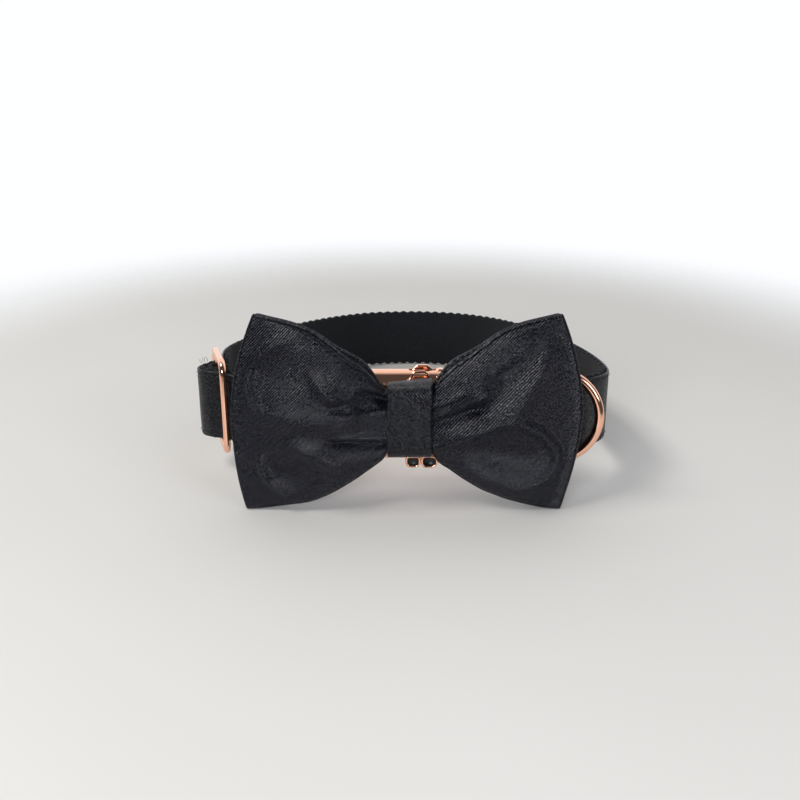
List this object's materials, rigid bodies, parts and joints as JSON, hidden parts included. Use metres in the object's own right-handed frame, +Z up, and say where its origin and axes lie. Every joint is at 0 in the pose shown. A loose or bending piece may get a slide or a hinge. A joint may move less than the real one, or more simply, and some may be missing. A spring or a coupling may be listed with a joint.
{
  "type": "pet bow tie collar",
  "caption": "Webbing pet collar with a satin face, metal side buckle, slider and leash ring, and a two-layer satin bow over the buckle.",
  "frame": {"origin": "centre of the collar's footprint, on the surface that it lies on", "axes": "+Z up from that surface, the bow faces -Y, the leash ring is on the +X side and the slider on the -X side"},
  "size_m": [0.1408, 0.1392, 0.0618],
  "materials": {
    "bow_satin": "black satin twill, soft sheen",
    "strap_webbing": "black ribbed woven polyester webbing, matt",
    "strap_satin": "black satin facing, smooth",
    "elastic": "black knitted elastic, matt",
    "rose_gold": "rose gold plated cast metal, polished"
  },
  "bodies": {
    "collar": {"webbing_strap": "strap_webbing", "satin_facing": "strap_satin", "buckle_socket": "rose_gold", "buckle_plug": "rose_gold", "strap_slider": "rose_gold", "elastic_keeper_left": "elastic", "elastic_keeper_right": "elastic", "bow_front_layer": "bow_satin", "bow_back_layer": "bow_satin", "bow_knot": "bow_satin"},
    "leash_ring": {"leash_ring": "rose_gold"}
  },
  "joints": [
    {"name": "leash_ring_swing", "type": "hinge", "parent": "collar", "child": "leash_ring", "pos_m": [0.0475, -0.05305, 0.02675], "axis": [0, -0.1187, -0.9929], "range_deg": [-3, 23]}
  ]
}
